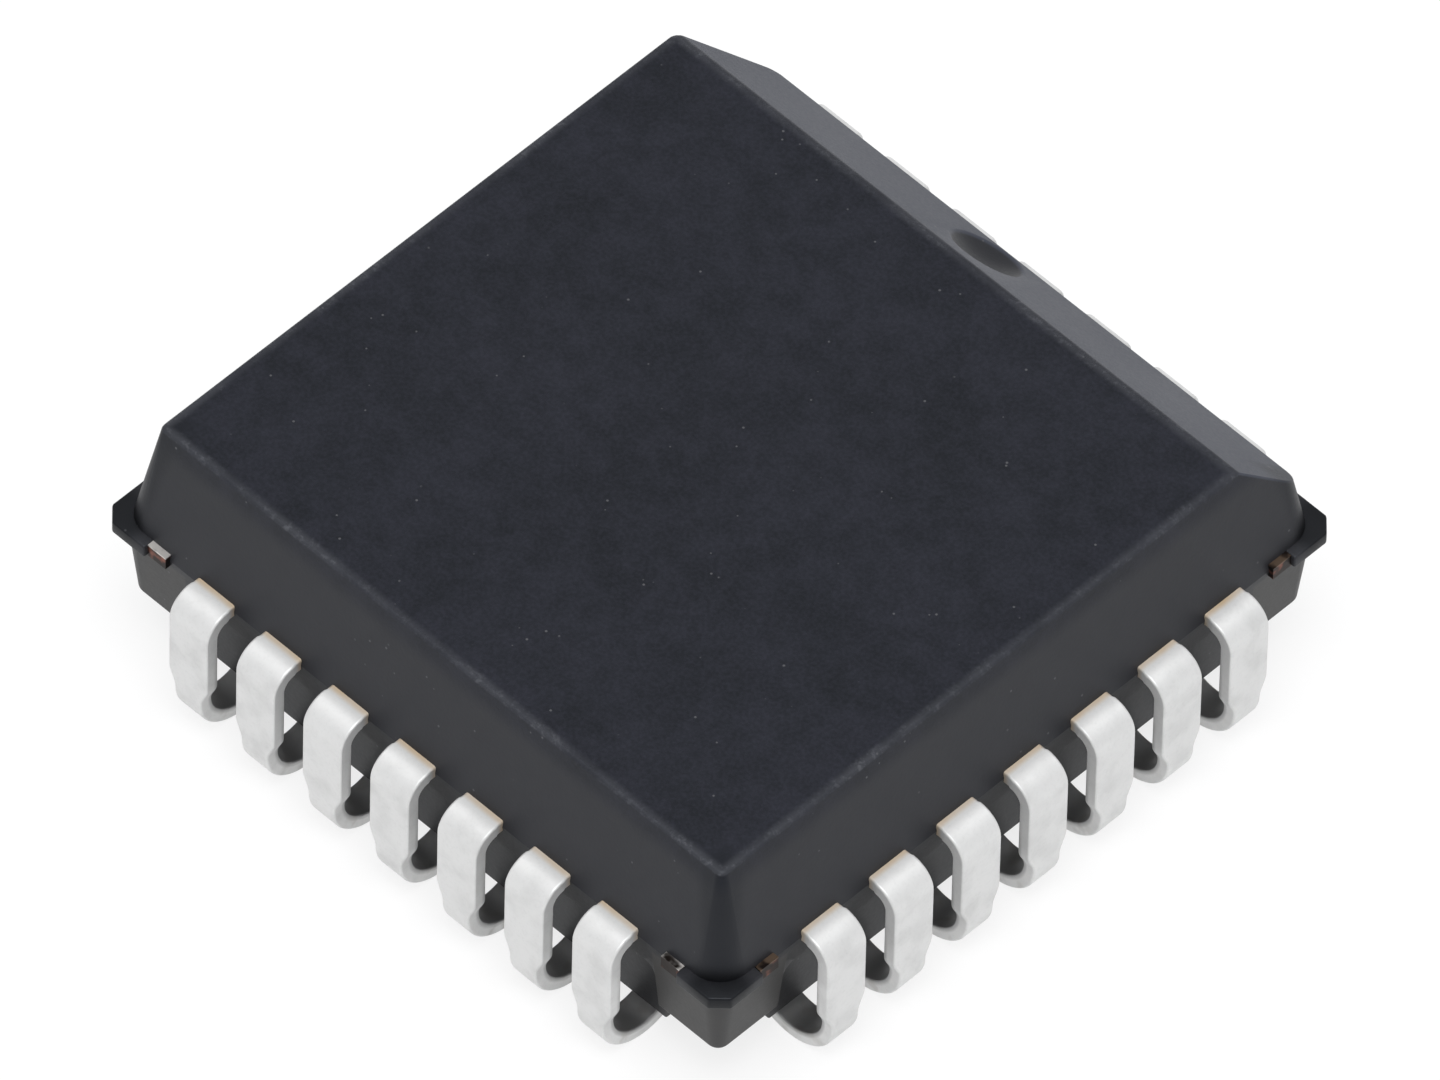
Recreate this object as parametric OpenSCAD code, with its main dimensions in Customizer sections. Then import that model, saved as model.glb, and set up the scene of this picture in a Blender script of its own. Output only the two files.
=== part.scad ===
// Plastic leaded chip carrier: a moulded square body with a row of J-shaped leads on
// every side, a bevel along the pin-one edge and one cut index corner. The lead frame,
// the die and its bond wires are modelled inside the moulding.
// Millimetres. +Z is up, z = 0 is the plane the leads stand on, the origin is under the
// middle of the body and +Y is the side with the bevel.

/* [Lead rows] */

// Leads on each side
leads_per_side = 7; // [5:2:11]
// Distance between neighbouring leads
pitch = 1.27; // [1:0.01:1.6]
// Thickness of the lead frame sheet
lead_t = 0.22; // [0.15:0.01:0.28]
// Width of a lead over its shoulder and leg
lead_w = 0.73; // [0.6:0.01:0.82]
// Width of a lead where it leaves the body
neck_w = 0.7; // [0.5:0.01:0.73]
// Width of a lead round its curl
curl_w = 0.5; // [0.35:0.01:0.6]
// Height over which the leg narrows to the curl
taper_h = 0.38; // [0.1:0.01:0.6]
// Distance from the side of the body to the outer face of a leg
lead_reach = 0.52; // [0.45:0.01:0.7]
// Outer radius of the shoulder bend
shoulder_r = 0.4; // [0.3:0.01:0.46]
// Outer radius of the curl
curl_r = 0.82; // [0.7:0.01:0.95]
// Angle that the curl turns through
curl_sweep = 165; // [120:1:170]
// Bevel on the edge of the cut end of a curl
tip_break = 0.05; // [0.02:0.01:0.08]

/* [Body] */

// From the middle of the last lead to the side of the body
row_margin = 1.89; // [1.75:0.01:2.4]
// Height of the parting plane, the middle of the lead frame, above the board
parting_z = 2.475; // [2.35:0.005:2.8]
// Height of the upper half above the parting plane
upper_h = 1.965; // [1.6:0.005:2.4]
// Depth of the corner posts below the parting plane
post_h = 1.475; // [1.3:0.005:1.6]
// Height of the underside above the board
standoff = 0.62; // [0.5:0.01:0.75]
// Draft of the upper half, degrees
upper_draft = 11.5; // [5:0.5:13]
// Draft of the lower half, degrees
lower_draft = 6.4; // [3:0.1:8]
// Radius of the upright corners of the upper half at the parting plane
corner_r = 0.5; // [0.46:0.01:0.8]
// Radius of the upright corners of the lower half at the parting plane
post_r = 0.34; // [0.3:0.01:0.6]
// Break on the rim of the top
rim_break = 0.06; // [0.03:0.01:0.08]
// Break on the lower edge of the posts
post_break = 0.12; // [0.03:0.01:0.16]
// Length along each side that the index corner takes away at the parting plane
index_cut = 1.16; // [0.9:0.01:1.5]

/* [Pin one bevel] */

// From the side of the body to the start of the bevel on the top
bevel_in = 1.27; // [1:0.01:1.6]
// Slope of the bevel, degrees
bevel_angle = 43; // [35:1:55]
// Radius of the pin one dimple
dimple_r = 0.58; // [0.3:0.01:0.65]
// Depth of the pin one dimple
dimple_d = 0.18; // [0.08:0.01:0.25]
// Distance down the bevel from its start to the middle of the dimple
dimple_down = 0.84; // [0.7:0.01:0.95]

/* [Underside] */

// Depth of the side recess behind the leads
recess_d = 0.15; // [0.08:0.01:0.25]
// Drop from the parting plane to the top of the side recess
recess_drop = 0.475; // [0.3:0.005:0.7]
// Draft of the recessed wall, degrees
recess_draft = 4.7; // [2:0.1:7]
// Distance from the edge of the last lead to the end of the side recess
recess_end = 0.245; // [0.15:0.005:0.3]
// Radius of the upper corners of the side recess
recess_r = 0.2; // [0.1:0.01:0.3]
// Thickness of the rib that the curls pass under
rib_t = 0.36; // [0.3:0.01:0.42]
// Gap between the tips of the curls and the middle of the underside
tip_gap = 0.23; // [0.2:0.01:0.4]
// Depth of the groove that the curls turn up into
groove_d = 0.5; // [0.4:0.01:0.6]
// Radius of the ejector pin mark in the underside
eject_r = 1.1; // [0.6:0.05:2]
// Depth of the ejector pin mark
eject_d = 0.04; // [0.02:0.01:0.1]

/* [Corner tabs] */

// Reach of a corner tab beyond the side of the body
tab_reach = 0.15; // [0.08:0.01:0.25]
// Cut on the corner of a tab
tab_cut = 0.22; // [0.1:0.01:0.3]
// From the side of the body to the middle of a tie bar stub
stub_in = 0.85; // [0.7:0.01:0.95]
// Width of a tie bar stub
stub_w = 0.34; // [0.2:0.01:0.4]
// Reach of a cut stub beyond the side of the body
stub_reach = 0.08; // [0.03:0.01:0.1]

/* [Inside] */

// Width of the die pad
pad_w = 5.4; // [4.6:0.1:5.8]
// Gap between the die pad and the lead tips round it
pad_gap = 0.3; // [0.2:0.01:0.5]
// Width of the bars that hold the die pad
tie_w = 0.42; // [0.25:0.01:0.5]
// Distance between neighbouring lead tips
finger_pitch = 0.7; // [0.6:0.01:0.75]
// Width of a lead tip
finger_w = 0.4; // [0.25:0.01:0.45]
// From the side of the body in to where a lead turns towards its tip
knee_in = 0.95; // [0.7:0.01:1.2]
// Width of the die
die_w = 4; // [3:0.1:4.4]
// Thickness of the die
die_t = 0.36; // [0.2:0.01:0.5]
// Thickness of the bonding layer under the die
attach_t = 0.05; // [0.03:0.01:0.1]
// Reach of the bonding layer beyond the die
attach_reach = 0.08; // [0.05:0.01:0.15]
// Distance between neighbouring bond pads on the die
bond_pitch = 0.5; // [0.3:0.01:0.55]
// Distance from the edge of the die to the bond pads
bond_in = 0.15; // [0.1:0.01:0.3]
// Distance from the end of a lead tip to its bond
stitch_in = 0.2; // [0.15:0.01:0.3]
// Thickness of a bond wire
wire_d = 0.04; // [0.02:0.005:0.06]
// Rise of a bond wire above the die
loop_h = 0.22; // [0.12:0.01:0.4]

/* [Hidden] */

$fn = 96;
lead_count = 4 * leads_per_side;
row_half = (leads_per_side - 1) / 2 * pitch;
body_half = row_half + row_margin;
far = 2 * body_half;
lead_top = parting_z + lead_t / 2;
lead_bottom = parting_z - lead_t / 2;
body_top = parting_z + upper_h;
post_z = parting_z - post_h;

// Lead profile, measured outwards from the middle of the body
leg_y = body_half + lead_reach;
bend_y = leg_y - shoulder_r;
bend_z = lead_top - shoulder_r;
curl_y = leg_y - curl_r;
curl_z = curl_r;
curl_in = curl_r - lead_t;
taper_z = curl_z + taper_h;

// Bevel and dimple
bevel_y = body_half - bevel_in;
dimple_y = bevel_y + dimple_down * cos(bevel_angle);
dimple_z = body_top - dimple_down * sin(bevel_angle);
dimple_ball = (dimple_r * dimple_r + dimple_d * dimple_d) / (2 * dimple_d);

// Side recess, ribs and middle of the underside
recess_z = parting_z - recess_drop;
recess_y = body_half - recess_drop * tan(lower_draft) - recess_d;
recess_half = row_half + lead_w / 2 + recess_end;
plateau_half = leg_y - 2 * curl_r - tip_gap;
rib_y = recess_wall(standoff) - rib_t;

// Corners
tab_half = body_half + tab_reach;
stub_y = body_half - stub_in;
stub_tip = body_half + stub_reach;
tab_edge = stub_y + stub_w / 2;
index_reach = (2 * body_half - index_cut) / sqrt(2) + stub_reach;

// Inside
finger_y = pad_w / 2 + pad_gap;
knee_y = body_half - knee_in;
attach_z = lead_top;
die_z = attach_z + attach_t;
die_top = die_z + die_t;

// Leads are numbered anticlockwise from the middle of the bevelled side
function lead_name(p) = str("lead_", p < 10 ? "0" : "", p);
function lead_place(p) = (p - 1 + floor(leads_per_side / 2)) % lead_count;
function lead_side(p) = floor(lead_place(p) / leads_per_side);
function lead_step(p) = (leads_per_side - 1) / 2 - lead_place(p) % leads_per_side;

// Distance of the recessed wall from the middle at height z
function recess_wall(z) = recess_y - (recess_z - z) * tan(recess_draft);

moulded_body();
for (p = [1 : lead_count])
    lead(p);
die_pad();
die_attach();
silicon_die();
bond_wires();

// Epoxy moulding, cast round the frame, the die and the wires
module moulded_body() {
    color([0.19, 0.195, 0.22])
    difference() {
        union() {
            body_blank();
            for (a = [0, 90]) rotate([0, 0, a]) belly();
            for (a = [180 : 90 : 360]) rotate([0, 0, a]) corner_tab();
        }
        for (a = [0 : 90 : 270]) rotate([0, 0, a]) {
            side_recess();
            curl_groove();
        }
        pin_one_bevel();
        pin_one_dimple();
        cylinder(r = eject_r, h = standoff + eject_d);
        for (p = [1 : lead_count]) lead_shape(p);
        die_pad_shape();
        die_attach_shape();
        die_shape();
        wire_shapes();
    }
}

// One lead: bond finger, shoulder, leg and curl in a single stamped strip
module lead(p) {
    color([0.80, 0.80, 0.79]) lead_shape(p);
}

// Pad under the die with its four bars, cut off at the corners of the body
module die_pad() {
    color([0.74, 0.52, 0.38]) die_pad_shape();
}

// Bonding layer between the die and its pad
module die_attach() {
    color([0.70, 0.71, 0.72]) die_attach_shape();
}

// Silicon die
module silicon_die() {
    color([0.36, 0.38, 0.45]) die_shape();
}

// Bond wires from the die to the lead tips
module bond_wires() {
    color([0.92, 0.74, 0.32]) wire_shapes();
}

// Body before its cuts: two drafted halves that meet at the parting plane
module body_blank() {
    translate([0, 0, parting_z]) {
        drafted_half(corner_r, upper_draft, upper_h, rim_break);
        mirror([0, 0, 1]) drafted_half(post_r, lower_draft, post_h, post_break);
    }
}

// Half of the body: an outline grown from its core by a radius that the draft shrinks
module drafted_half(r, draft, h, edge) {
    core = body_half - r;
    cut = index_cut - r * (2 - sqrt(2));
    wall_h = h - edge;
    end_r = r - wall_h * tan(draft);
    points = [[core, -core], [core, core], [cut - core, core], [-core, core - cut], [-core, -core]];
    hull()
        for (p = points) translate([p[0], p[1], 0]) {
            cylinder(r1 = r, r2 = end_r, h = wall_h, $fn = 32);
            translate([0, 0, wall_h]) cylinder(r1 = end_r, r2 = end_r - edge, h = edge, $fn = 32);
        }
}

// Recess behind one row of leads, an arch seen from the front with a drafted back wall
module side_recess() {
    intersection() {
        along_row(2 * far)
            polygon([
                [recess_wall(recess_z), recess_z],
                [far, recess_z],
                [far, 0],
                [recess_wall(0), 0]
            ]);
        translate([0, far, 0]) rotate([90, 0, 0]) linear_extrude(far) {
            translate([-recess_half, 0]) square([2 * recess_half, recess_z - recess_r]);
            translate([recess_r - recess_half, 0])
                square([2 * (recess_half - recess_r), recess_z]);
            for (s = [-1, 1])
                translate([s * (recess_half - recess_r), recess_z - recess_r]) circle(recess_r);
        }
    }
}

// Block under the body between two facing rows, before the recesses and grooves are cut in it
module belly() {
    reach = recess_y + recess_d / 2;
    translate([-recess_half, -reach, standoff])
        cube([2 * recess_half, 2 * reach, parting_z - standoff]);
}

// Groove that the tips of one row turn up into, between its rib and the middle of the underside
module curl_groove() {
    translate([-recess_half, plateau_half, 0])
        cube([2 * recess_half, rib_y - plateau_half, standoff + groove_d]);
}

// Tab of moulding that fills the corner of the frame, as thick as the sheet
module corner_tab() {
    translate([0, 0, lead_bottom]) linear_extrude(lead_t)
        polygon([
            [tab_edge, tab_edge],
            [tab_half, tab_edge],
            [tab_half, tab_half - tab_cut],
            [tab_half - tab_cut, tab_half],
            [tab_edge, tab_half]
        ]);
}

// Material that the bevel takes off the edge over pin one
module pin_one_bevel() {
    rise = bevel_in * tan(bevel_angle);
    along_row(2 * far)
        polygon([
            [bevel_y - bevel_in, body_top + rise],
            [body_half + bevel_in, body_top + rise],
            [body_half + bevel_in, body_top - 2 * rise]
        ]);
}

// Ball that leaves the dish in the bevel
module pin_one_dimple() {
    rise = dimple_ball - dimple_d;
    translate([0, dimple_y + rise * sin(bevel_angle), dimple_z + rise * cos(bevel_angle)])
        sphere(dimple_ball);
}

// A profile drawn as [outwards, up], extruded along the row and centred on it
module along_row(length) {
    translate([-length / 2, 0, 0]) rotate([90, 0, 90]) linear_extrude(length) children();
}

module lead_shape(p) {
    u = lead_step(p);
    rotate([0, 0, 90 * lead_side(p)]) {
        bond_finger(u);
        translate([u * pitch, 0, 0]) {
            along_row(lead_w) shoulder_profile();
            leg_taper();
            along_row(curl_w) curl_profile();
        }
    }
}

// Flat part of a lead, from its tip by the die pad out to the shoulder bend
module bond_finger(u) {
    x = u * pitch;
    t = u * finger_pitch;
    translate([0, 0, lead_bottom]) linear_extrude(lead_t)
        polygon([
            [t - finger_w / 2, finger_y],
            [t + finger_w / 2, finger_y],
            [x + neck_w / 2, knee_y],
            [x + neck_w / 2, bend_y],
            [x - neck_w / 2, bend_y],
            [x - neck_w / 2, knee_y]
        ]);
}

// Shoulder bend and straight leg, down to where the leg narrows
module shoulder_profile() {
    intersection() {
        translate([bend_y, bend_z]) difference() {
            circle(shoulder_r);
            circle(shoulder_r - lead_t);
        }
        translate([bend_y, bend_z]) square(shoulder_r);
    }
    translate([leg_y - lead_t, taper_z]) square([lead_t, bend_z - taper_z]);
}

// End of the leg, narrowing to the width of the curl
module leg_taper() {
    translate([0, leg_y, 0]) rotate([90, 0, 0]) linear_extrude(lead_t)
        polygon([
            [-lead_w / 2, taper_z],
            [-curl_w / 2, curl_z],
            [curl_w / 2, curl_z],
            [lead_w / 2, taper_z]
        ]);
}

// Curl that turns under the body, with its cut end broken on the outside
module curl_profile() {
    a = curl_sweep;
    reach = 2 * curl_r;
    translate([curl_y, curl_z]) difference() {
        circle(curl_r);
        circle(curl_in);
        translate([-reach, 0]) square([2 * reach, reach]);
        polygon([
            [0, 0],
            [-reach, 0],
            [reach * cos(a), -reach * sin(a)]
        ]);
        polygon([
            [curl_r * cos(a), -curl_r * sin(a)] + tip_break * [-cos(a), sin(a)],
            [curl_r * cos(a), -curl_r * sin(a)] + tip_break * [sin(a), cos(a)],
            [curl_r * cos(a), -curl_r * sin(a)] * 1.2
        ]);
    }
}

// Die pad, tie bars and the stubs where they were cut off
module die_pad_shape() {
    translate([0, 0, lead_bottom]) linear_extrude(lead_t) {
        square(pad_w, center = true);
        for (a = [180 : 90 : 360]) rotate(a) {
            rotate(45) translate([0, -tie_w / 2]) square([stub_y * sqrt(2), tie_w]);
            translate([stub_y - stub_w / 2, stub_y - stub_w / 2])
                square([stub_w, stub_tip - stub_y + stub_w / 2]);
            translate([stub_y - stub_w / 2, stub_y - stub_w / 2])
                square([stub_tip - stub_y + stub_w / 2, stub_w]);
        }
        rotate(135) translate([0, -tie_w / 2]) square([index_reach, tie_w]);
    }
}

module die_attach_shape() {
    w = die_w + 2 * attach_reach;
    translate([-w / 2, -w / 2, attach_z]) cube([w, w, attach_t]);
}

module die_shape() {
    translate([-die_w / 2, -die_w / 2, die_z]) cube([die_w, die_w, die_t]);
}

module wire_shapes() {
    for (p = [1 : lead_count]) rotate([0, 0, 90 * lead_side(p)]) bond_wire(lead_step(p));
}

// One wire: it stands on its bond pad, runs level and slopes down to the lead tip
module bond_wire(u) {
    from = [u * bond_pitch, die_w / 2 - bond_in];
    to = [u * finger_pitch, finger_y + stitch_in];
    run = to - from;
    l = norm(run);
    crest = die_top + loop_h;
    level = l * 0.35;
    translate([from[0], from[1], 0])
        rotate([0, 0, atan2(run[1], run[0])])
            translate([0, wire_d / 2, 0]) rotate([90, 0, 0]) linear_extrude(wire_d)
                polygon([
                    [0, die_top],
                    [0, crest],
                    [level, crest],
                    [l + wire_d, lead_top],
                    [l - wire_d, lead_top],
                    [level - wire_d / 2, crest - wire_d],
                    [wire_d, crest - wire_d],
                    [wire_d, die_top]
                ]);
}
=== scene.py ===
import math

import bmesh
import bpy
from mathutils import Matrix, Vector


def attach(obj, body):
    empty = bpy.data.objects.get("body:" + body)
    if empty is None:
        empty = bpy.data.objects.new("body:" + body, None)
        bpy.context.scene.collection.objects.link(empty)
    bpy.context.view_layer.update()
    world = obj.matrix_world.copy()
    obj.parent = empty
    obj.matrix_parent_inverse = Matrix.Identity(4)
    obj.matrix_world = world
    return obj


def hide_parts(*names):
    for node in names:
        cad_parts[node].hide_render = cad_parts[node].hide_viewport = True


mm = 0.001  # pieces are drawn in millimetres and brought to metres at the end

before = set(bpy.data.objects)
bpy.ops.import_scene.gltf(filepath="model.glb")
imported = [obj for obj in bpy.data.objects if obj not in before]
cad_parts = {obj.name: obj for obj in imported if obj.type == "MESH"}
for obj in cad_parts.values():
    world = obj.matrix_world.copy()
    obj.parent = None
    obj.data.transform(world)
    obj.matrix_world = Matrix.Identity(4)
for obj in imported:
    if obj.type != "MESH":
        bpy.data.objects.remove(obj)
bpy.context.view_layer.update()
print("frame loaded,", len(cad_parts), "nodes")


# Camera, from a fit to the lead rows and the corners of the body

cameraSetup = {
    "azimuth": 43.88,
    "elevation": 51.59,
    "roll": 1.405,
    "distance": 473.24,
    "lens": 885.3,  # on a 36 mm sensor
    "aim": (0.0, 0.0, 2.60),
    "slide": (0.0051, -0.2961),  # right and up in the picture
}


def makeCamera(s):
    az, el, roll = (math.radians(s[k]) for k in ("azimuth", "elevation", "roll"))
    back = Vector((math.sin(az) * math.cos(el), -math.cos(az) * math.cos(el), math.sin(el)))
    right = Vector((0, 0, 1)).cross(back).normalized()
    up = back.cross(right)
    tiltRight = right * math.cos(roll) + up * math.sin(roll)
    tiltUp = up * math.cos(roll) - right * math.sin(roll)
    aim = Vector(s["aim"]) + tiltRight * s["slide"][0] + tiltUp * s["slide"][1]
    data = bpy.data.cameras.new("camera")
    data.lens, data.sensor_width = s["lens"], 36
    data.clip_start, data.clip_end = 0.01, 20
    camera = bpy.data.objects.new("camera", data)
    bpy.context.scene.collection.objects.link(camera)
    turn = Matrix((tiltRight, tiltUp, back)).transposed().to_4x4()
    camera.matrix_world = Matrix.Translation((aim + back * s["distance"]) * mm) @ turn
    bpy.context.scene.camera = camera


makeCamera(cameraSetup)
print("camera set")


# Shader helper: a socket that takes part in sums


class Wire:
    def __init__(self, tree, socket=None):
        self.tree, self.socket = tree, socket

    def add(self, kind, settings=None, inputs=None, out=0):
        made = self.tree.nodes.new("ShaderNode" + kind)
        for name, value in (settings or {}).items():
            if name == "stops":
                ramp = made.color_ramp.elements
                while len(ramp) < len(value):
                    ramp.new(0.5)
                for stop, (place, colour) in zip(ramp, value):
                    stop.position, stop.color = place, (*colour, 1)
            else:
                setattr(made, name, value)
        for name, value in (inputs or {}).items():
            if isinstance(value, Wire):
                self.tree.links.new(value.socket, made.inputs[name])
            else:
                made.inputs[name].default_value = value
        return Wire(self.tree, made.outputs[out])

    def maths(self, operation, *values):
        return self.add("Math", {"operation": operation}, dict(enumerate(values)))

    def __add__(self, other):
        return self.maths("ADD", self, other)

    def __sub__(self, other):
        return self.maths("SUBTRACT", self, other)

    def __rsub__(self, other):
        return self.maths("SUBTRACT", other, self)

    def __mul__(self, other):
        return self.maths("MULTIPLY", self, other)

    def __truediv__(self, other):
        return self.maths("DIVIDE", self, other)

    __radd__, __rmul__ = __add__, __mul__

    def step(self, low, high):  # 0 below low, 1 above high, smooth between
        return self.add(
            "MapRange",
            {"interpolation_type": "SMOOTHSTEP"},
            {"Value": self, "From Min": low, "From Max": high},
        )

    def noise(self, place, size, detail=2.0, roughness=0.5, stretch=None):  # size in mm
        if stretch:
            place = self.add("Mapping", None, {"Vector": place, "Scale": stretch})
        return self.add(
            "TexNoise",
            None,
            {"Vector": place, "Scale": 1 / (size * mm), "Detail": detail, "Roughness": roughness},
        )

    def mix(self, factor, a, b):  # two colours
        return self.add("Mix", {"data_type": "RGBA"}, {0: factor, 6: a, 7: b}, 2)


def colour(r, g, b):
    return (r, g, b, 1.0)


def startFinish(name):
    material = bpy.data.materials.new(name)
    material.use_nodes = True
    tree = material.node_tree
    shader = tree.nodes["Principled BSDF"]
    w = Wire(tree)
    return material, w, w.add("TexCoord", None, None, 3), shader


def plug(w, shader, **sockets):
    for name, value in sockets.items():
        target = shader.inputs[name.replace("_", " ")]
        if isinstance(value, Wire):
            w.tree.links.new(value.socket, target)
        else:
            target.default_value = value


# Shapes, in millimetres

bodyShape = {
    "half": 5.70,
    "parting": 2.475,
    "top": 4.44,
    "upperDraft": 11.5,
    "lowerDraft": 6.4,
    "corner": 0.50,
    "postCorner": 0.34,
    "postRound": 0.10,
    "indexRound": 0.215,  # its post is too slim for more
    "indexCut": 1.16,
    "indexZone": 4.0,  # the post under the index corner is farther out than this both ways
    "foot": 1.00,
    "belly": 0.62,
    "recessTop": 2.00,
    "recessDepth": 0.15,
    "recessDraft": 4.7,
    "recessHalf": 4.42,
    "recessRound": 0.20,
    "ribIn": 0.36,
    "plateau": 4.35,
    "grooveRoof": 1.12,
    "bevelStart": 4.43,
    "bevelAngle": 43,
    "dimpleDown": 0.84,
    "dimpleRadius": 0.58,
    "dimpleDepth": 0.18,
    "dimplePanel": 0.80,
    "dimpleRings": 7,
    "ejectRadius": 1.1,
    "ejectDepth": 0.04,
    "ejectWall": 0.02,
    "tabEdge": 5.02,
    "tabReach": 5.85,
    "tabCut": 0.22,
    "sheet": 0.22,
    "wallZone": 5.3,  # the walls behind the leads are farther out than this
    "rimZone": 0.1,
    "tabZone": 0.3,
    "softAngle": 15,  # sharper edges than this are softened
    "rimSoft": 0.055,
    "edgeSoft": 0.03,
    "recessSoft": 0.012,
    "dimpleSoft": 0.02,
    "markSoft": 0.008,
}

leadShape = {
    "perSide": 7,
    "pitch": 1.27,
    "sheet": 0.22,
    "mid": 2.475,
    "width": 0.73,
    "neck": 0.70,
    "curlWidth": 0.50,
    "taper": 0.38,
    "leg": 6.22,
    "shoulder": 0.40,
    "curl": 0.82,
    "sweep": 165,
    "tipPitch": 0.70,
    "tipWidth": 0.40,
    "tipAt": 3.00,
    "knee": 4.75,
    "flare": 0.04,
    "taperSteps": 8,
    "bendSteps": 10,
    "curlSteps": 28,
    "softAngle": 35,
    "edgeSoft": 0.035,
}


# Finishes

epoxyLook = {
    "dark": colour(0.0042, 0.0048, 0.0068),
    "light": colour(0.0165, 0.0170, 0.0245),
    "wall": colour(0.0215, 0.0215, 0.0240),  # painted light: the sides lighter than the top, from how the light falls on them
    # painted reflection: the pin-one bevel lighter and bluer, catching the light from behind
    "bevel": colour(0.0470, 0.0510, 0.0670),
    "low": colour(0.0420, 0.0400, 0.0375),  # painted light: the lower half of the mould lighter, standing in for the white floor it reflects
    "recess": colour(0.022, 0.022, 0.0235),  # painted shade between the posts, behind the leads
    "nookShade": colour(0.0030, 0.0030, 0.0035),  # painted shade in the corner over a tab
    "speck": colour(0.085, 0.085, 0.09),
    "rimWearAndHighlight": colour(0.062, 0.064, 0.072),  # painted highlight along the rim of the top, broken up by chipped wear
    "dim": 0.46,
    "rimBand": 0.17,
    "grain": 0.055,  # mm
    "mottle": 0.42,
    "roughness": 0.44,
    "gloss": 0.24,
    # painted light: reflections tinted blue like the light from above
    "tint": colour(0.84, 0.90, 1.0),
    "rim": 5.30,
    "tab": 5.10,
}


def epoxyFinish(s, shape):
    material, w, place, shader = startFinish("moulding_epoxy")
    x, y, z = (w.add("SeparateXYZ", None, {0: place}, i) for i in range(3))
    cloud = w.noise(place, 1.6, 3.0)
    mottle = w.noise(place, s["mottle"], 3.0, 0.6)
    grain = w.noise(place, s["grain"], 3.0, 0.6)
    tone = cloud.step(0.3, 0.7) * 0.2 + mottle.step(0.3, 0.7) * 0.35 + grain.step(0.3, 0.75) * 0.45
    base = w.mix(tone, s["dark"], s["light"])
    side = 1 - z.step((shape["top"] - 0.05) * mm, (shape["top"] - 0.01) * mm)
    wall = 1 - z.step((shape["top"] - s["dim"]) * mm, (shape["top"] - 0.12) * mm)  # painted light on the sides, fading out just under the rim
    base = w.mix(wall * (0.75 + tone * 0.4), base, s["wall"])
    # painted reflection on the pin-one bevel
    lean = math.radians(shape["bevelAngle"])
    outward = (y - shape["bevelStart"] * mm) * math.sin(lean)
    off = w.maths("ABSOLUTE", outward + (z - shape["top"] * mm) * math.cos(lean))
    base = w.mix(side * (1 - off.step(0.01 * mm, 0.04 * mm)) * 0.9, base, s["bevel"])
    # painted light on the lower half, from the floor it faces
    low = 1 - z.step((shape["parting"] - 0.16) * mm, (shape["parting"] - 0.08) * mm)
    base = w.mix(low * (0.7 + tone * 0.4), base, s["low"])
    near = w.maths("MINIMUM", w.maths("ABSOLUTE", x), w.maths("ABSOLUTE", y))
    # painted shade in the recess behind the leads
    back = 1 - near.step((shape["recessHalf"] - 0.02) * mm, shape["recessHalf"] * mm)
    base = w.mix(low * back * 0.9, base, s["recess"])
    # painted shade: the rounded upright corners of the upper half darker
    drawn = near + (z - shape["parting"] * mm) * math.tan(math.radians(shape["upperDraft"]))
    turned = drawn.step((shape["half"] - shape["corner"]) * mm, (shape["half"] - shape["corner"] / 2) * mm)
    base = w.mix(turned * (1 - low) * 0.55, base, s["dark"])
    # painted shade in the corners over the tabs
    corner = near.step(s["tab"] * mm, (s["tab"] + 0.3) * mm)
    over = 1 - z.step((shape["parting"] + 0.15) * mm, (shape["parting"] + 0.45) * mm)
    base = w.mix(corner * over * (1 - low) * 0.9, base, s["nookShade"])
    pits = w.add("TexVoronoi", {"feature": "F1"}, {"Vector": place, "Scale": 1 / (0.21 * mm)})
    rare = w.noise(place, 0.5, 1.0)
    speck = (1 - pits.step(0.06, 0.11)) * rare.step(0.56, 0.62)
    base = w.mix(speck * 0.8, base, s["speck"])
    # painted highlight along the rim, with chipped wear in it
    out = w.maths("MAXIMUM", w.maths("ABSOLUTE", x), 0 - y)
    out = w.maths("MAXIMUM", out, y + (s["rim"] - shape["bevelStart"]) * mm)
    rim = out.step((s["rim"] - s["rimBand"]) * mm, (s["rim"] - 0.04) * mm)
    rim = rim * z.step((shape["top"] - 0.06) * mm, (shape["top"] - 0.03) * mm)
    chips = w.noise(place, 0.11, 3.0, 0.7).step(0.50, 0.68)
    patchy = w.noise(place, 1.1, 2.0).step(0.35, 0.65)
    rimWearAndHighlight = rim * (0.22 + 0.25 * patchy + 0.53 * chips * patchy)
    base = w.mix(rimWearAndHighlight, base, s["rimWearAndHighlight"])
    height = grain * 0.6 + w.noise(place, 0.13, 2.0) * 0.4
    bump = w.add("Bump", None, {"Strength": 0.22, "Distance": 0.012 * mm, "Height": height})
    plug(
        w, shader,
        Base_Color=base,
        Roughness=s["roughness"] + (grain - 0.5) * 0.16 + (cloud - 0.5) * 0.12,
        Specular_IOR_Level=s["gloss"],
        Specular_Tint=s["tint"],
        Normal=bump,
    )
    return material


tinLook = {
    "tin": colour(0.705, 0.705, 0.700),
    "dull": colour(0.595, 0.595, 0.590),
    "bleed": colour(0.52, 0.39, 0.24),  # tan stain where the lead leaves the moulding
    # darker patches low on the curl
    "lowPatch": colour(0.30, 0.28, 0.25),
    "inner": colour(0.42, 0.42, 0.42),  # inside of the bend, in the shade of the body
    "roughness": 0.46,
    "metal": 0.45,
}


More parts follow.
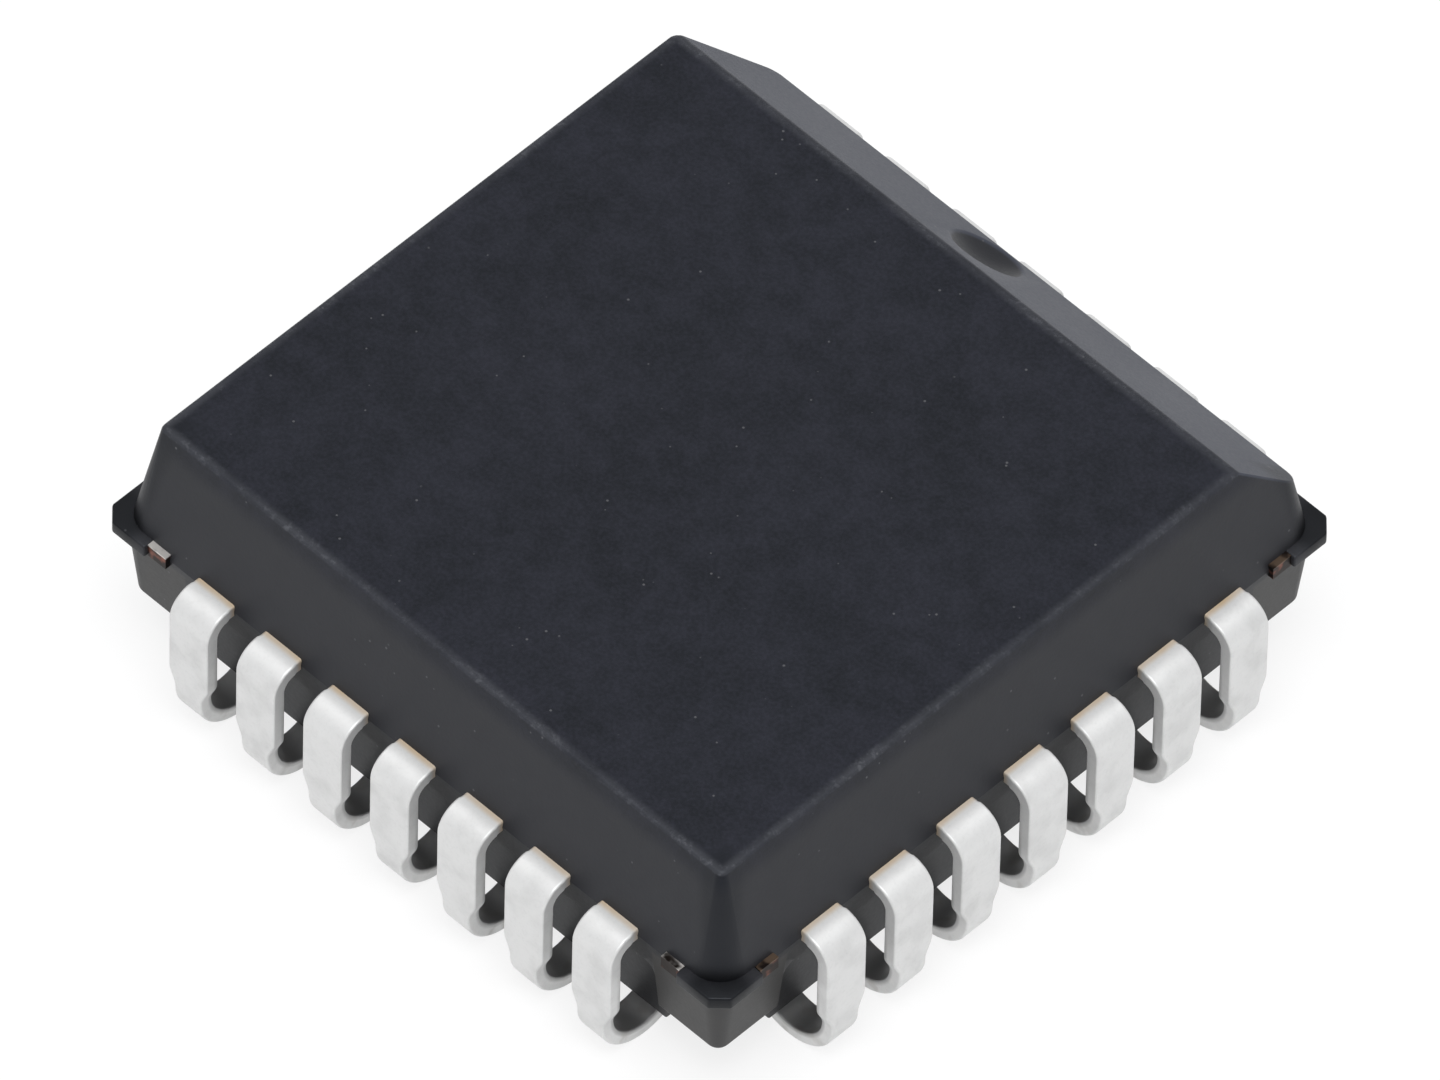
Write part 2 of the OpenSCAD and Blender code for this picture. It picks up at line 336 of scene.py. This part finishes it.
def tinFinish(s, shape, wall):
    material, w, place, shader = startFinish("tin_plate")
    x, y, z = (w.add("SeparateXYZ", None, {0: place}, i) for i in range(3))
    across = w.maths("MAXIMUM", w.maths("ABSOLUTE", x), w.maths("ABSOLUTE", y))
    cloud = w.noise(place, 0.45, 3.0)
    fine = w.noise(place, 0.05, 2.0, 0.6)
    rolled = w.noise(place, 0.03, 2.0, 0.6, (1.0, 1.0, 0.08))  # drawn along the legs
    dull = cloud.step(0.4, 0.75) * 0.6 + fine.step(0.45, 0.8) * 0.3
    base = w.mix(dull, s["tin"], s["dull"])
    nearBody = (1 - across.step(wall * mm, (wall + 0.10) * mm)) * z.step(2.1 * mm, 2.3 * mm)
    bleed = nearBody * (0.3 + cloud * 0.8)
    base = w.mix(w.maths("MINIMUM", bleed, 0.9), base, s["bleed"])
    below = w.maths("MINIMUM", z - shape["curl"] * mm, 0.0)
    out = across - (shape["leg"] - shape["curl"]) * mm
    bend = w.maths("SQRT", out * out + below * below)
    inner = shape["curl"] - shape["sheet"]
    inside = (1 - bend.step((inner + 0.03) * mm, (inner + 0.09) * mm)) * (1 - z.step(0.9 * mm, 2.15 * mm))
    base = w.mix(inside, base, s["inner"])
    # darker patches towards the bottom of the curl
    low = 1 - z.step(0.15 * mm, 0.75 * mm)
    lowPatch = low * w.noise(place, 0.3, 2.0).step(0.52, 0.7)
    base = w.mix(lowPatch * 0.35, base, s["lowPatch"])
    height = fine * 0.6 + rolled * 0.4
    bump = w.add("Bump", None, {"Strength": 0.12, "Distance": 0.008 * mm, "Height": height})
    plug(
        w, shader,
        Base_Color=base,
        Metallic=s["metal"] + inside * 0.5,
        Roughness=s["roughness"] + dull * 0.14 + bleed * 0.1 + rolled * 0.06,
        Normal=bump,
    )
    return material


copperLook = {
    "bright": colour(0.62, 0.36, 0.22),
    "brown": colour(0.30, 0.17, 0.10),
    "roughness": 0.38,
}


def copperFinish(s):
    material, w, place, shader = startFinish("cut_copper")
    smear = w.noise(place, 0.12, 3.0, 0.6)
    drag = w.noise(place, 0.025, 2.0, 0.5, (1.0, 1.0, 0.15))
    base = w.mix(smear.step(0.35, 0.7), s["bright"], s["brown"])
    bump = w.add("Bump", None, {"Strength": 0.2, "Distance": 0.008 * mm, "Height": drag})
    plug(w, shader, Base_Color=base, Metallic=1.0, Roughness=s["roughness"] + smear * 0.2, Normal=bump)
    return material


frameLook = {
    "sheet": colour(0.26, 0.10, 0.07),
    "tarnish": colour(0.022, 0.016, 0.014),
    "plate": colour(0.74, 0.71, 0.68),
    "dull": colour(0.150, 0.105, 0.075),
    "outside": 5.60,  # mm from the middle, where the tie bars come out to be cut off
    "top": 2.585,
}


def frameFinish(s):
    material, w, place, shader = startFinish("frame_sheet")
    x, y, z = (w.add("SeparateXYZ", None, {0: place}, i) for i in range(3))
    across = w.maths("MAXIMUM", w.maths("ABSOLUTE", x), w.maths("ABSOLUTE", y))
    smear = w.noise(place, 0.24, 2.0, 0.5)
    sheet = w.mix(smear.step(0.50, 0.72), s["tarnish"], s["sheet"])
    outside = across.step((s["outside"] - 0.02) * mm, s["outside"] * mm)
    plated = outside * z.step((s["top"] - 0.03) * mm, (s["top"] - 0.005) * mm)
    bright = (0 - x - y).step(0.0, 0.001 * mm)  # the stubs where x + y is below nought get the bright plate, the others the dull one
    plate = w.mix(bright, s["dull"], s["plate"])
    base = w.mix(plated * smear.step(0.36, 0.56), sheet, plate)
    plug(w, shader, Base_Color=base, Metallic=0.95, Roughness=0.34 + smear * 0.2)
    return material


insideLooks = {
    "die_attach": {
        "name": "silver_bond",
        "a": colour(0.46, 0.46, 0.46),
        "b": colour(0.62, 0.62, 0.61),
        "size": 0.05,  # of the grain, in mm
        "roughness": 0.55,
        "metallic": 0.35,
    },
    "silicon_die": {
        "name": "die_silicon",
        "a": colour(0.13, 0.14, 0.19),
        "b": colour(0.22, 0.20, 0.26),
        "size": 0.22,  # of the grain, in mm
        "roughness": 0.16,
        "metallic": 0.55,
    },
    "bond_wires": {
        "name": "gold_wire",
        "a": colour(0.86, 0.62, 0.24),
        "b": colour(0.95, 0.74, 0.34),
        "size": 0.09,  # of the grain, in mm
        "roughness": 0.22,
        "metallic": 1.0,
    },
}


def insideFinish(s):
    material, w, place, shader = startFinish(s["name"])
    grain = w.noise(place, s["size"], 3.0, 0.6)
    plug(
        w, shader,
        Base_Color=w.mix(grain.step(0.3, 0.7), s["a"], s["b"]),
        Metallic=s["metallic"],
        Roughness=s["roughness"] + (grain - 0.5) * 0.12,
    )
    return material


epoxy = epoxyFinish(epoxyLook, bodyShape)
tin = tinFinish(tinLook, leadShape, bodyShape["half"])
copper = copperFinish(copperLook)
print("finishes ready")


# Mesh helpers


def placePiece(bm, name, materials, width, segments, node):
    bmesh.ops.scale(bm, vec=(mm, mm, mm), verts=bm.verts)
    mesh = bpy.data.meshes.new(name)
    bm.to_mesh(mesh)
    bm.free()
    mesh.shade_smooth()
    for material in materials:
        mesh.materials.append(material)
    piece = bpy.data.objects.new(name, mesh)
    bpy.context.scene.collection.objects.link(piece)
    soft = piece.modifiers.new("soft_edges", "BEVEL")
    soft.limit_method, soft.width, soft.segments = "WEIGHT", width * mm, segments
    soft.use_clamp_overlap, soft.harden_normals = False, True
    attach(piece, "root")
    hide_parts(node)
    return piece


def softEdges(bm, least, weigh):
    layer = bm.edges.layers.float.new("bevel_weight_edge")
    for e in bm.edges:
        if len(e.link_faces) == 2 and e.calc_face_angle() > math.radians(least):
            e[layer] = weigh(e)
            e.smooth = e[layer] > 0


def withEdges(faces):
    # a face is only used up by an extrusion if its edges go along
    edges = dict.fromkeys(e for f in faces for e in f.edges)
    verts = dict.fromkeys(v for f in faces for v in f.verts)
    return [*faces, *edges, *verts]


def growFace(bm, face, move):
    made = bmesh.ops.extrude_face_region(bm, geom=withEdges([face]))["geom"]
    grown = [g for g in made if isinstance(g, bmesh.types.BMFace)][0]
    for v in grown.verts:
        v.co = move(v.co)
    return grown


roundSteps = 8  # pieces of a rounded corner
discSides = 64
hair, slack, nearby = 1e-4, 1e-3, 1e-2  # mm, from the same place to close by
evenAngle = 0.01  # radians, less than this is flat


def openEdges(bm):
    return len([e for e in bm.edges if len(e.link_faces) != 2])


def sinkDisc(bm, face, centre, normal, radius, rings):
    # opens a round dish in a flat face: rings are (radius, depth) inwards from the rim
    turn = normal.to_track_quat("Z", "Y").to_matrix().to_4x4()
    rim = list(face.edges)
    bmesh.ops.delete(bm, geom=[face], context="FACES_ONLY")
    made = bmesh.ops.create_circle(
        bm, cap_ends=True, segments=discSides, radius=radius, matrix=Matrix.Translation(centre) @ turn
    )["verts"]
    disc = made[0].link_faces[0]
    if disc.normal.dot(normal) < 0:
        disc.normal_flip()
    bmesh.ops.bridge_loops(bm, edges=rim + list(disc.edges))
    at, deep = radius, 0.0
    for r, d in rings:
        bmesh.ops.inset_region(
            bm, faces=[disc], thickness=at - r, depth=deep - d, use_even_offset=True, use_boundary=True
        )
        at, deep = r, d
    return disc


def fuse(skin, extra):
    # one closed skin from two that cross
    blanks = []
    for bm in (skin, extra):
        mesh = bpy.data.meshes.new("blank")
        bm.to_mesh(mesh)
        bm.free()
        blanks.append(bpy.data.objects.new("blank", mesh))
        bpy.context.scene.collection.objects.link(blanks[-1])
    join = blanks[0].modifiers.new("join", "BOOLEAN")
    join.operation, join.solver, join.object = "UNION", "EXACT", blanks[1]
    whole = bmesh.new()
    whole.from_object(blanks[0], bpy.context.evaluated_depsgraph_get())
    for mesh in [blank.data for blank in blanks]:
        bpy.data.meshes.remove(mesh)  # takes its object along
    return whole


# Moulded body


def slope(degrees):
    return math.tan(math.radians(degrees))


def makeBody(s):
    bm = bmesh.new()
    h, c, z0, rh = s["half"], s["indexCut"], s["parting"], s["recessHalf"]
    head, foot = s["recessTop"], s["foot"]

    # two drafted halves on the parting plane, each with corners of its own
    plan = [Vector(p) for p in ((h, -h), (h, h), (c - h, h), (-h, h - c), (-h, -h))]
    square, blunt = 1, math.tan(math.pi / 8)  # how far a round runs along the side, by its radius
    reach = [square, square, blunt, blunt, square]
    halves = [(1, s["top"], s["corner"], s["upperDraft"]), (-1, foot, s["postCorner"], s["lowerDraft"])]
    for way, end, r, draft in halves:
        before = set(bm.faces)
        loop, tips = [], []
        for i, here in enumerate(plan):
            j = (i + 1) % len(plan)
            along = (plan[j] - here).normalized()
            tips.append(bm.verts.new((*here, z0)))
            loop.append(tips[-1])
            if way < 0:  # the rounds of the upper half end here
                start = here + along * s["corner"] * reach[i]
                stop = plan[j] - along * s["corner"] * reach[j]
                loop += [bm.verts.new((*start, z0)), bm.verts.new((*stop, z0))]
        bm.faces.new(loop)
        for size in (square, blunt):
            turned = s["indexRound"] if way < 0 and size == blunt else r
            bmesh.ops.bevel(
                bm, geom=[v for v, k in zip(tips, reach) if k == size], offset=turned * size,
                offset_type="OFFSET", segments=roundSteps, profile=0.5, affect="VERTICES",
                clamp_overlap=False, material=-1,
            )
        outline = (set(bm.faces) - before).pop()
        outline.normal_update()
        if outline.normal.z * way < 0:
            outline.normal_flip()
        tall = abs(end - z0)
        bmesh.ops.inset_region(
            bm, faces=[outline], thickness=tall * slope(draft), depth=tall, use_even_offset=True,
            use_boundary=True,
        )
    bmesh.ops.remove_doubles(bm, verts=bm.verts, dist=hair)
    ledges = [e for e in bm.edges if e.is_boundary]  # at the corners, where the lower half stands out
    bmesh.ops.holes_fill(bm, edges=ledges, sides=0)
    bmesh.ops.recalc_face_normals(bm, faces=bm.faces)
    bm.normal_update()
    flat = [e for e in bm.edges if len(e.link_faces) == 2 and e.calc_face_angle() < evenAngle]
    bmesh.ops.dissolve_edges(bm, edges=flat, use_verts=True)  # a wall is one face
    bm.normal_update()
    print("halves:", len(bm.faces), "faces,", openEdges(bm), "open edges")

    def score(faces, axis, at):
        no = Vector((0, 0, 0))
        no[axis] = 1
        bmesh.ops.bisect_plane(bm, geom=withEdges(faces), dist=hair / 10, plane_co=no * at, plane_no=no)
        bm.normal_update()

    def isDown(n):
        return n.z < -0.99

    def pick(test):
        return [f for f in bm.faces if test(f.calc_center_median(), f.normal)]

    def recessWall(z):
        outside = h - (z0 - head) * slope(s["lowerDraft"])
        return outside - s["recessDepth"] - (head - z) * slope(s["recessDraft"])

    # recess behind each row of leads: score the panel, take it out and close the hole with its new walls
    for axis in (0, 1):
        for at in (-rh, rh):
            score(pick(lambda p, n: p.z < z0 - nearby), axis, at)
    for axis in (0, 1):
        along = 1 - axis
        for sign in (-1, 1):
            def onWall(p, n):
                return n[axis] * sign > 0.9 and abs(p[along]) < rh and p.z < z0

            def onStrip(p, n):
                return isDown(n) and abs(p[along]) < rh and p[axis] * sign > rh

            score(pick(onWall), 2, head)
            score(pick(onStrip), axis, sign * recessWall(foot))
            gone = pick(lambda p, n: onWall(p, n) and p.z < head)
            gone += pick(lambda p, n: onStrip(p, n) and p[axis] * sign > recessWall(foot))
            bmesh.ops.delete(bm, geom=gone, context="FACES")
            open_ = [e for e in bm.edges if e.is_boundary]
            lintel = [e for e in open_ if all(abs(v.co.z - head) < hair for v in e.verts)]
            sill = [
                e for e in open_
                if all(abs(v.co[axis] - sign * recessWall(foot)) < hair for v in e.verts)
            ]
            made = bmesh.ops.extrude_edge_only(bm, edges=lintel)["geom"]
            inner = [g for g in made if isinstance(g, bmesh.types.BMEdge)]
            for v in {v for e in inner for v in e.verts}:
                v.co[axis] = sign * recessWall(head)
            bmesh.ops.bridge_loops(bm, edges=inner + sill)
            bmesh.ops.holes_fill(bm, edges=[e for e in bm.edges if e.is_boundary], sides=0)
            bmesh.ops.recalc_face_normals(bm, faces=bm.faces)
            corners = [
                e for e in bm.edges
                if all(abs(v.co.z - head) < hair and abs(abs(v.co[along]) - rh) < hair for v in e.verts)
                and e.verts[0].co[axis] * sign > 0 and e.verts[0].co[along] * e.verts[1].co[along] > 0
            ]
            bmesh.ops.bevel(
                bm, geom=corners, offset=s["recessRound"], offset_type="OFFSET", segments=roundSteps,
                profile=0.5, affect="EDGES", clamp_overlap=False, material=-1,
            )
            bm.normal_update()

    # underside: middle and ribs stand down, the grooves for the curls go up
    rib, mid = recessWall(s["belly"]) - s["ribIn"], s["plateau"]

    def under(p, n):
        return isDown(n) and abs(p.z - foot) < slack and min(abs(p.x), abs(p.y)) < rh

    for axis in (0, 1):
        for at in (-rib, rib):
            score(pick(lambda p, n: under(p, n) and abs(p[axis]) > rh), axis, at)
        for at in (-mid, mid):
            score(pick(lambda p, n: under(p, n) and max(abs(p.x), abs(p.y)) < rh), axis, at)

    def shift(faces, dz):
        made = bmesh.ops.extrude_face_region(bm, geom=withEdges(faces))["geom"]
        moved = [g for g in made if isinstance(g, bmesh.types.BMVert)]
        bmesh.ops.translate(bm, vec=(0, 0, dz), verts=moved)
        bm.normal_update()
        return moved

    for axis in (0, 1):
        for sign in (-1, 1):
            for v in shift(pick(lambda p, n: under(p, n) and p[axis] * sign > rib), s["belly"] - foot):
                if abs(v.co[axis]) > rib + s["ribIn"] / 2:
                    v.co[axis] = sign * recessWall(s["belly"])
    shift(pick(lambda p, n: under(p, n) and max(abs(p.x), abs(p.y)) < mid), s["belly"] - foot)
    shift(pick(lambda p, n: under(p, n) and max(abs(p.x), abs(p.y)) < rib), s["grooveRoof"] - foot)

    def atIndex(edge):
        return all(min(-v.co.x, v.co.y) > s["indexZone"] and v.co.z < z0 for v in edge.verts)

    # rounded lower edge of the posts, where the drafted outside meets their feet
    drafted = math.sin(math.radians(s["lowerDraft"]))
    edges = [
        e for e in bm.edges
        if all(abs(v.co.z - foot) < hair for v in e.verts)
        and any(abs(f.normal.z + drafted) < nearby for f in e.link_faces) and not atIndex(e)
    ]
    bmesh.ops.bevel(
        bm, geom=edges, offset=s["postRound"], offset_type="OFFSET", segments=roundSteps,
        profile=0.5, affect="EDGES", clamp_overlap=False, material=-1,
    )
    bm.normal_update()

    # ejector pin mark in the middle of the underside
    mark = s["ejectRadius"]
    middle = pick(lambda p, n: isDown(n) and abs(p.z - s["belly"]) < slack and p.xy.length < mark)[0]
    sinkDisc(
        bm, middle, Vector((0, 0, s["belly"])), Vector((0, 0, -1)), mark,
        [(mark - s["ejectWall"], s["ejectDepth"])],
    )

    # bevel over pin one, with its dimple
    lean = math.radians(s["bevelAngle"])
    no = Vector((0, math.sin(lean), math.cos(lean)))
    cut = bmesh.ops.bisect_plane(
        bm, geom=list(bm.verts) + list(bm.edges) + list(bm.faces), dist=hair / 10,
        plane_co=Vector((0, s["bevelStart"], s["top"])), plane_no=no, clear_outer=True,
    )["geom_cut"]
    made = bmesh.ops.contextual_create(bm, geom=[g for g in cut if isinstance(g, bmesh.types.BMEdge)])
    sloped = made["faces"][0]
    sloped.normal_update()
    if sloped.normal.dot(no) < 0:
        sloped.normal_flip()
    for at in (-s["dimplePanel"], s["dimplePanel"]):
        score(pick(lambda p, n: n.dot(no) > 0.999), 0, at)
    sloped = min(pick(lambda p, n: n.dot(no) > 0.999), key=lambda f: abs(f.calc_center_median().x))
    down = Vector((0, math.cos(lean), -math.sin(lean)))
    centre = Vector((0, s["bevelStart"], s["top"])) + down * s["dimpleDown"]
    radius, depth, rings = s["dimpleRadius"], s["dimpleDepth"], s["dimpleRings"]
    ball = (radius**2 + depth**2) / (2 * depth)
    radii = [radius * (1 - i / rings) for i in range(1, rings)]
    sinkDisc(bm, sloped, centre, no, radius, [(q, math.sqrt(ball**2 - q**2) - ball + depth) for q in radii])
    bmesh.ops.recalc_face_normals(bm, faces=bm.faces)
    print("body shell:", len(bm.faces), "faces,", openEdges(bm), "open edges")

    # corner tabs of moulding, as thick as the lead frame
    e, t, k = s["tabEdge"], s["tabReach"], s["tabCut"]
    tabs = bmesh.new()
    for turn in (180, 270, 360):
        flat = [(e, e), (t, e), (t, t - k), (t - k, t), (e, t)]
        tab = tabs.faces.new([tabs.verts.new((x, y, z0 + s["sheet"] / 2)) for x, y in flat])
        made = bmesh.ops.extrude_face_region(tabs, geom=[tab])["geom"]
        low = [g for g in made if isinstance(g, bmesh.types.BMVert)]
        bmesh.ops.translate(tabs, vec=(0, 0, -s["sheet"]), verts=low)
        bmesh.ops.rotate(
            tabs, cent=(0, 0, 0), matrix=Matrix.Rotation(math.radians(turn), 3, "Z"),
            verts=low + list(tab.verts),
        )
    bmesh.ops.recalc_face_normals(tabs, faces=tabs.faces)
    bm = fuse(bm, tabs)
    bmesh.ops.remove_doubles(bm, verts=bm.verts, dist=hair / 10)
    bmesh.ops.recalc_face_normals(bm, faces=bm.faces)
    print("body skin:", len(bm.faces), "faces,", openEdges(bm), "open edges")

    def weigh(edge):
        ends = [v.co for v in edge.verts]
        if all(abs(q.z - z0) < s["sheet"] / 2 + slack for q in ends):
            if all(abs(q.z - z0) < slack for q in ends) or not edge.is_convex:
                return 0.0  # parting line and the foot of the tabs stay crisp
        if all(q.xy.length < mark + nearby and q.z < foot for q in ends):
            return s["markSoft"] / s["rimSoft"]
        atWall = all(max(abs(q.x), abs(q.y)) > s["wallZone"] for q in ends)
        if atWall and all(foot - nearby < q.z < head + nearby for q in ends):
            return s["recessSoft"] / s["rimSoft"] if edge.is_convex else 0.0
        sloping = all(abs((q - centre).dot(no)) < slack for q in ends)
        if sloping and any(q.z < s["top"] - s["rimZone"] for q in ends):
            return s["dimpleSoft"] / s["rimSoft"]
        if all(q.z > z0 + s["tabZone"] and (q - centre).length > radius + nearby for q in ends):
            return 1.0  # rim of the top and of the bevel
        return s["edgeSoft"] / s["rimSoft"]

    softEdges(bm, s["softAngle"], weigh)
    piece = placePiece(bm, "body_moulding", [epoxy], s["rimSoft"], 3, "moulded_body")
    piece.modifiers["soft_edges"].harden_normals = False
    even = piece.modifiers.new("even_shading", "WEIGHTED_NORMAL")
    even.mode, even.weight, even.keep_sharp = "FACE_AREA", 100, True
    return piece


makeBody(bodyShape)
print("body made")


# Leads: one strip each, numbered anticlockwise from the middle of the bevelled side


def makeLead(s, number):
    count = s["perSide"]
    slotAt = (number - 1 + count // 2) % (4 * count)
    side, step = slotAt // count, (count - 1) / 2 - slotAt % count
    x, tip = step * s["pitch"], step * s["tipPitch"]
    top, bottom = s["mid"] + s["sheet"] / 2, s["mid"] - s["sheet"] / 2
    bendY, bendZ = s["leg"] - s["shoulder"], top - s["shoulder"]
    curlY, curlZ = s["leg"] - s["curl"], s["curl"]

    bm = bmesh.new()
    flat = [(-1, bottom), (1, bottom), (1, top), (-1, top)]
    face = bm.faces.new([bm.verts.new((tip + a * s["tipWidth"] / 2, s["tipAt"], z)) for a, z in flat])
    bm.normal_update()
    face = growFace(bm, face, lambda p: Vector((x + (p.x - tip) * s["neck"] / s["tipWidth"], s["knee"], p.z)))
    face = growFace(bm, face, lambda p: Vector((p.x, bendY - s["flare"], p.z)))
    face = growFace(bm, face, lambda p: Vector((x + (p.x - x) * s["width"] / s["neck"], bendY, p.z)))

    def turnFace(face, y, z, angle, steps):
        geom = list(face.verts) + list(face.edges) + [face]
        last = bmesh.ops.spin(
            bm, geom=geom, cent=(x, y, z), axis=(1, 0, 0), angle=-math.radians(angle), steps=steps
        )["geom_last"]
        return [g for g in last if isinstance(g, bmesh.types.BMFace)][0]

    face = turnFace(face, bendY, bendZ, 90, s["bendSteps"])
    face = growFace(bm, face, lambda p: Vector((p.x, p.y, curlZ + s["taper"])))
    for i in range(1, s["taperSteps"] + 1):
        t = i / s["taperSteps"]
        wide = s["width"] + (s["curlWidth"] - s["width"]) * t * t * (3 - 2 * t)
        z = curlZ + s["taper"] * (1 - t)
        face = growFace(bm, face, lambda p: Vector((x + math.copysign(wide / 2, p.x - x), p.y, z)))
    face = turnFace(face, curlY, curlZ, s["sweep"], s["curlSteps"])
    face.material_index = 1  # bare cut end
    bmesh.ops.recalc_face_normals(bm, faces=bm.faces)
    softEdges(bm, s["softAngle"], lambda e: 1.0)
    bmesh.ops.rotate(bm, cent=(0, 0, 0), matrix=Matrix.Rotation(side * math.pi / 2, 3, "Z"), verts=bm.verts)
    name = "%02d" % number
    return placePiece(bm, "strip_" + name, [tin, copper], s["edgeSoft"], 3, "lead_" + name)


for number in range(1, 4 * leadShape["perSide"] + 1):
    makeLead(leadShape, number)
print("leads made")


# Nodes that keep their own shape

keptShapes = {node: insideFinish(look) for node, look in insideLooks.items()}
keptShapes["die_pad"] = frameFinish(frameLook)
for node, material in keptShapes.items():
    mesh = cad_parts[node].data
    mesh.materials.clear()
    mesh.materials.append(material)
print("inside pieces finished")


# Floor, lamps and surroundings

studio = {
    "floor": colour(0.92, 0.92, 0.92),
    "white": 0.80,  # how far camera and reflections see the paper as plain white
    "world": colour(0.47, 0.475, 0.485),
    "lamps": [  # name, direction from the object, distance, size and brightness
        ("top_box", (-0.05, 0.05, 1.0), 0.60, 1.30, 0.34),
        ("key_box", (0.20, -0.20, 0.96), 0.60, 0.36, 6.2),
        ("left_box", (-0.43, -0.78, 0.45), 0.55, 0.42, 0.30),
        ("right_box", (0.78, 0.45, 0.43), 0.55, 0.42, 0.22),
    ],
}


def makeStage(s):
    bm = bmesh.new()
    bmesh.ops.create_grid(bm, x_segments=1, y_segments=1, size=1.5)
    mesh = bpy.data.meshes.new("floor")
    bm.to_mesh(mesh)
    bm.free()
    material, w, place, shader = startFinish("floor_paper")
    plug(w, shader, Base_Color=s["floor"], Roughness=0.9, Specular_IOR_Level=0.0)
    glow = w.add("Emission", None, {"Color": colour(1, 1, 1), "Strength": 1.0})
    camera, glossy, through = (w.add("LightPath", None, None, i) for i in (0, 3, 6))
    seen = w.maths("MAXIMUM", w.maths("MAXIMUM", camera, glossy), through)
    both = w.add("MixShader", None, {0: seen * s["white"], 1: Wire(w.tree, shader.outputs[0]), 2: glow})
    w.tree.links.new(both.socket, w.tree.nodes["Material Output"].inputs[0])
    mesh.materials.append(material)
    floor = bpy.data.objects.new("floor", mesh)
    bpy.context.scene.collection.objects.link(floor)
    for name, toward, far, size, bright in s["lamps"]:
        data = bpy.data.lights.new(name, "AREA")
        data.size, data.energy = size, bright * math.pi * size * size
        lamp = bpy.data.objects.new(name, data)
        bpy.context.scene.collection.objects.link(lamp)
        toward = Vector(toward).normalized()
        facing = toward.to_track_quat("Z", "Y").to_matrix().to_4x4()
        lamp.matrix_world = Matrix.Translation(toward * far) @ facing
    world = bpy.data.worlds.new("studio")
    world.use_nodes = True
    world.node_tree.nodes["Background"].inputs["Color"].default_value = s["world"]
    bpy.context.scene.world = world
    bpy.context.scene.view_settings.view_transform = "Standard"


makeStage(studio)
print("stage set")
